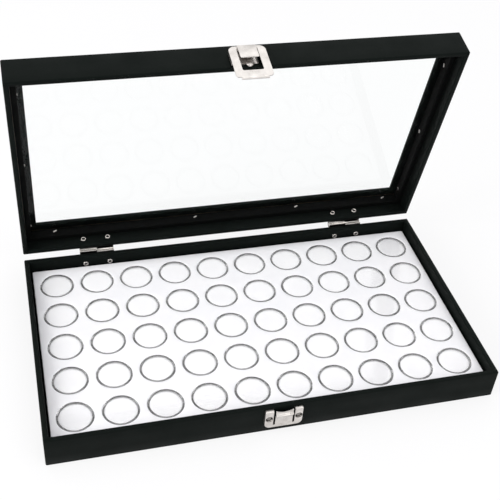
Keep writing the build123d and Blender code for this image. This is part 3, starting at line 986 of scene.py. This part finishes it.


# Catch plate
# A nickel plated pressing on the base's front, open behind. Between two slots stands a spring tongue,
# curled out to a ridge that the ring snaps over, and each ear has a dimple with a rivet in it. The
# dimples and their rivets are painted in a much darker nickel, as painted shade.

# Dimple nickel: a much darker copy of the bright nickel, as painted shade in the dimples and on their
# rivets.
dimple_nickel_in_shade = plated("dimple_nickel_in_shade", 1.2 * mm, (0.2, 0.188, 0.176), (0.32, 0.305, 0.29), (0.2, 0.3),
                     (0.3, 0.95))

catch_low, catch_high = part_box("latch_catch_plate")
catch_sheet = 0.8 * mm
catch_out = 3 * mm
catch_face = front_face - catch_out
catch_foot_corner = 4.5 * mm
catch_head_corner = 1 * mm
catch_easing = 0.9 * mm
catch_cut_easing = 0.2 * mm
tongue_half = 7.2 * mm
slot = 1.6 * mm
slot_end = tongue_half + slot + past_cut
tongue_foot = catch_low.z + 3.4 * mm
ridge_foot = window_foot + 0.8 * mm
curl_start = 0.6 * mm
tip_rise = (catch_high.z - ridge_foot) / mm
notch_width = 13 * mm
notch_depth = 1.8 * mm
notch_radius = ((notch_width / 2) ** 2 + notch_depth ** 2) / (2 * notch_depth)
notch_reach = 4 * mm

# How far out of the plate each bend of the curl lies, and how far above the ridge's foot, in mm.
curl = [(0.25, -0.28), (0.9, -0.08), (1.7, 0.1), (2.08, 0.3), (2.2, 0.55), (2.05, 0.85), (1.55, 1.1)]
curl += [(0.95, 1.3), (0.5, 1.6), (0.3, 2.2), (0.25, (2.2 + tip_rise) / 2), (0.5, tip_rise)]

catch = add_sheet("latch_catch_pressed", catch_high.x - catch_low.x, catch_low.z, catch_high.z, catch_face)
ease_corners(lambda vertex: vertex.co.z < catch_low.z + mm, catch_foot_corner, 8)
ease_corners(lambda vertex: vertex.co.z > catch_high.z - mm, catch_head_corner, 4)
for place in (-tongue_half - slot, -tongue_half, tongue_half, tongue_half + slot):
    cut_across(0, place)
cut_across(2, tongue_foot)
cut_across(2, ridge_foot - curl_start)
pick("FACE", lambda face: abs(middle(face).x) < tongue_half + slot and middle(face).z > tongue_foot
     and (abs(middle(face).x) > tongue_half or middle(face).z > ridge_foot - curl_start))
bpy.ops.mesh.delete(type="FACE")
pick("EDGE", lambda edge: edge.is_boundary and (abs(middle(edge).x) > slot_end
                                                or near(middle(edge).z, catch_low.z)))
draw_out(y=catch_out)
pick("EDGE", lambda edge: edge.is_boundary and abs(middle(edge).x) < tongue_half - mm
     and near(middle(edge).z, ridge_foot - curl_start))
last_out, last_rise = 0, -curl_start
for out, rise in curl:
    draw_out(y=last_out - out * mm, z=rise * mm - last_rise)
    last_out, last_rise = out * mm, rise * mm
face_forward(lambda face: near(middle(face).y, catch_face))
bpy.ops.object.mode_set(mode="OBJECT")
thicken(catch, catch_sheet, even=True)
soften(lambda edge: near(middle(edge).y, catch_face)
       and (abs(middle(edge).x) > slot_end or middle(edge).z < tongue_foot - mm), catch_easing)
notch = turned("notch", [(notch_radius, -notch_reach), (notch_radius, notch_reach)], 96)
notch_middle = Vector((0, front_face - notch_reach, catch_high.z - notch_depth + notch_radius))
put(notch, Matrix.Translation(notch_middle) @ Matrix.Rotation(radians(90), 4, "X"))
cut_with(catch, notch)

dimple_radius = 2.9 * mm
dimple_depth = 1.5 * mm
dimple_floor = 1.5 * mm
dish_rim = 0.19 * mm
hole_radius = dimple_radius + 0.2 * mm
hole_depth = 5 * mm

# How far inside the dimple's radius each bend of a dish lies, and how high: up its back, down its face.
dish_profile = [(0.4 * mm, dimple_depth - catch_sheet), (-dish_rim, catch_out - catch_sheet)]
dish_profile += [(-dish_rim, catch_out), (0.1 * mm, catch_out - 0.12 * mm)]
dish_profile += [(0.35 * mm, catch_out - 0.45 * mm), (0.45 * mm, dimple_depth + 0.3 * mm)]
dish_profile += [(0.75 * mm, dimple_depth)]
dish_rings = [(dimple_floor, dimple_depth - catch_sheet)]
dish_rings += [(dimple_radius - inset, height) for inset, height in dish_profile]
dish_rings += [(dimple_floor, dimple_depth)]
dishes = []
for low, high in solids_of("catch_plate_rivets"):
    stand = into_wall((low + high) / 2, front_face, -1)
    hole = turned("hole", [(hole_radius, 0), (hole_radius, hole_depth)], 40)
    put(hole, stand)
    cut_with(catch, hole)
    dish = turned("dish", dish_rings, 40)
    put(dish, stand)
    dish.data.materials.append(dimple_nickel_in_shade)
    dishes.append(dish)
break_edges(catch, catch_cut_easing)
catch.data.materials.append(nickel)
catch = join("latch_catch_pressed", [catch] + dishes)
smooth(catch)
hand_in(catch, None, "base", "nickel", "latch_catch_plate")
catch_rivet_head = 2.4 * mm
add_rivets("catch_plate_rivets_rolled", "catch_plate_rivets", front_face - dimple_depth, 1,
           wall_thickness + dimple_depth, catch_rivet_head, False, dimple_nickel_in_shade)


# Foam insert
# A block of fine white foam, stamped with fifty round pockets, that lies on a card in the tray and
# stands a little clear of the walls. The punch has drawn the rims of the pockets down.

cell_size = 0.42 * mm
cell_depth = 0.05 * mm
swell_size = 9 * mm
swell_depth = 0.25 * mm

foam_white, nodes, wire, shader = start_material("white_foam")
place = nodes.new("ShaderNodeTexCoord").outputs["Object"]
cells = nodes.new("ShaderNodeTexVoronoi")
cells.inputs["Scale"].default_value = 1 / cell_size
wire(place, cells.inputs["Vector"])
pores = emboss(nodes, wire, cells.outputs["Distance"], cell_depth)
swells = add_noise(nodes, wire, place, swell_size, 3)
wire(emboss(nodes, wire, swells, swell_depth, pores), shader.inputs["Normal"])
tone = add_noise(nodes, wire, place, 22 * mm, 6)
wire(colours(nodes, wire, tone, (0.85, 0.855, 0.87), (0.885, 0.885, 0.89)), shader.inputs["Base Color"])
shader.inputs["Roughness"].default_value = 0.95
shader.inputs["Specular IOR Level"].default_value = 0.15
shader.inputs["Sheen Weight"].default_value = 0.05

foam_low, foam_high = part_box("foam_insert")
cap_low, cap_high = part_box("sample_jar_cap")
row_low, row_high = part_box("jars_row_2")
jar_radius = (cap_high.x - cap_low.x) / 2
columns = 10
jar_pitch = (row_high.x - row_low.x - 2 * jar_radius) / (columns - 1)
column_places = [row_low.x + jar_radius + jar_pitch * column for column in range(columns)]
pocket_radius = jar_radius + 0.15 * mm
drawn_down = 0.45 * mm
foam_corner = 1.5 * mm
foam_easing = 0.9 * mm
foam_pitch = 8 * mm
foam_sag = 0.15 * mm

jar_places = {}
for row in range(1, 6):
    low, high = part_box(f"jars_row_{row}")
    jar_places[row] = [Vector((x, (low.y + high.y) / 2, 0)) for x in column_places]

foam = add_block("foam_insert_stamped", foam_low, foam_high)
ease_edges(lambda edge: runs(edge, 2), foam_corner, 4)
ease_edges(lambda edge: near(middle(edge).z, foam_high.z) and sharp(edge), foam_easing, 3)
slice_across(0, foam_low.x, foam_high.x, foam_pitch)
slice_across(1, foam_low.y, foam_high.y, foam_pitch)
bpy.ops.object.mode_set(mode="OBJECT")
mouth = [(pocket_radius, foam_low.z - mm), (pocket_radius, foam_high.z - drawn_down)]
for turn in (30, 60, 90):
    flare = drawn_down * (1 - cos(radians(turn)))
    drop = drawn_down * (1 - sin(radians(turn)))
    mouth.append((pocket_radius + flare, foam_high.z - drop))
mouth.append((pocket_radius + drawn_down, foam_high.z + mm))
punch = turned("punch", mouth, 64)
punches = []
for places in jar_places.values():
    for place in places:
        twin = copy_of(punch, "punch")
        put(twin, Matrix.Translation(place))
        punches.append(twin)
bpy.data.objects.remove(punch)
cut_with(foam, join("punches", punches))
let_sag(foam, foam_sag)
smooth(foam)
hand_in(foam, foam_white, "insert", "foam", "foam_insert")


# Jars
# Fifty clear moulded jars, each a cup and a push-on cap with a low lip, with a round white pad inside.
# They stand on the card in the foam's pockets, and one of them is a jar whose cap comes off.

jar_plastic, nodes, wire, shader = start_material("clear_plastic")
place = nodes.new("ShaderNodeTexCoord").outputs["Object"]
flow = add_noise(nodes, wire, place, 7 * mm, 3, (1, 3, 1))
wire(emboss(nodes, wire, flow, 0.09 * mm), shader.inputs["Normal"])
wire(between(nodes, wire, flow, 0.02, 0.06), shader.inputs["Roughness"])
shader.inputs["Base Color"].default_value = (0.99, 0.992, 0.992, 1)
shader.inputs["IOR"].default_value = 1.42
shader.inputs["Transmission Weight"].default_value = 0.97
let_lamps_through(nodes, wire, shader, (0.985, 0.985, 0.985))

pad_white, shader = fibrous("white_pad", (0.6 * mm, 6), 0.04 * mm, (0.86, 0.86, 0.87),
                            (0.9, 0.9, 0.9), 0.95, tone=(11 * mm, 4))
shader.inputs["Specular IOR Level"].default_value = 0.1

jar_sides = 48
jar_top = cap_high.z
jar_foot = jar_top - 15.2 * mm
skirt_foot = cap_low.z
cap_wall = 0.7 * mm
cup_wall = 0.65 * mm
lip_width = 1.05 * mm
lip_height = 0.25 * mm
dome_foot = jar_top - lip_height
cap_corner = 0.4 * mm
mould_easing = 0.15 * mm
skirt_inside = jar_radius - cap_wall
underside = dome_foot - 0.85 * mm
cup_radius = skirt_inside - 0.15 * mm
cup_inside = cup_radius - cup_wall
cup_corner = 0.5 * mm
cup_rim = underside - 0.04 * mm
cup_rim_foot = underside - 0.2 * mm
cup_floor = jar_foot + cup_wall
floor_corner = 0.4 * mm
pad_radius = cup_inside - 0.1 * mm
pad_low = cup_floor + 0.05 * mm
pad_high = underside - 0.35 * mm
pad_corner = 0.5 * mm
pad_crown = 1.2 * mm

cap_rings = [(skirt_inside, underside), (skirt_inside, skirt_foot + mould_easing)]
cap_rings += [(skirt_inside + mould_easing, skirt_foot), (jar_radius - mould_easing, skirt_foot)]
cap_rings += [(jar_radius, skirt_foot + mould_easing), (jar_radius, jar_top - cap_corner)]
cap_rings += [(jar_radius - 0.3 * cap_corner, jar_top - 0.3 * cap_corner)]
cap_rings += [(jar_radius - cap_corner, jar_top), (jar_radius - lip_width, jar_top)]
cap_rings += [(jar_radius - 1.25 * mm, jar_top - 0.08 * mm), (jar_radius - 1.4 * mm, dome_foot)]
cap_rings += [(jar_radius - 5 * mm, dome_foot + 0.1 * mm), (3 * mm, dome_foot + 0.16 * mm)]
cap = turned("cap", cap_rings, jar_sides)

cup_rings = [(cup_radius - cup_corner, jar_foot), (cup_radius - mould_easing, jar_foot + mould_easing)]
cup_rings += [(cup_radius, jar_foot + cup_corner), (cup_radius, cup_rim_foot)]
cup_rings += [(cup_radius - mould_easing, cup_rim), (cup_inside + mould_easing, cup_rim)]
cup_rings += [(cup_inside, cup_rim_foot), (cup_inside, cup_floor + floor_corner)]
cup_rings += [(cup_inside - floor_corner, cup_floor)]
cup = turned("cup", cup_rings, jar_sides)

pad_rings = [(pad_radius - pad_corner, pad_low), (pad_radius, pad_low + pad_corner)]
pad_rings += [(pad_radius, pad_high - pad_crown)]
for turn in (25, 50, 75):
    inset = pad_crown * (1 - cos(radians(turn)))
    drop = pad_crown * (1 - sin(radians(turn)))
    pad_rings.append((pad_radius - inset, pad_high - drop))
pad_rings += [(pad_radius - 2.2 * mm, pad_high), (pad_radius / 2, pad_high + 0.1 * mm)]
pad = turned("pad", pad_rings, jar_sides)
for piece in (cap, cup, pad):
    smooth(piece)

pushed = 0.1 * mm
tipped = radians(0.8)
jar_middle = Vector((0, 0, (jar_foot + jar_top) / 2))


def as_dropped(place):
    """A jar's stand: pushed a little to one side in its pocket, turned, and tipped by its uneven card."""
    chance = 1000 * (place.x + 7 * place.y)
    push = Vector((cos(chance), sin(chance), 0)) * pushed
    tip_back = Matrix.Rotation(tipped * sin(3 * chance), 4, "X")
    tip_aside = Matrix.Rotation(tipped * cos(5 * chance), 4, "Y")
    tip = Matrix.Translation(jar_middle) @ tip_back @ tip_aside @ Matrix.Translation(-jar_middle)
    return Matrix.Translation(place + push) @ tip @ Matrix.Rotation(chance, 4, "Z")


def copies(piece, name, places):
    """One piece of many copies, one at each place."""
    twins = []
    for place in places:
        twin = copy_of(piece, name)
        put(twin, as_dropped(place))
        twins.append(twin)
    return join(name, twins)


sample_place = Vector(((cap_low.x + cap_high.x) / 2, (cap_low.y + cap_high.y) / 2, 0))
for row, places in jar_places.items():
    body = f"row_{row}"
    others = [place for place in places if (place - sample_place).length > jar_radius]
    caps = copies(cap, f"{body}_caps", others)
    hand_in(caps, jar_plastic, body, "clear_plastic", f"jars_{body}")
    cups = copies(cup, f"{body}_cups", others)
    hand_in(cups, jar_plastic, body, "clear_plastic")
    pads = copies(pad, f"{body}_pads", others)
    hand_in(pads, pad_white, body, "pad")

sample_cap = copies(cap, "sample_jar_cap_moulded", [sample_place])
hand_in(sample_cap, jar_plastic, "sample_cap", "clear_plastic", "sample_jar_cap")
sample_cup = copies(cup, "sample_jar_cup_moulded", [sample_place])
hand_in(sample_cup, jar_plastic, "sample_jar", "clear_plastic", "sample_jar_cup")
sample_pad = copies(pad, "sample_jar_pad_cut", [sample_place])
hand_in(sample_pad, pad_white, "sample_jar", "pad", "sample_jar_pad")
for piece in (cap, cup, pad):
    bpy.data.objects.remove(piece)
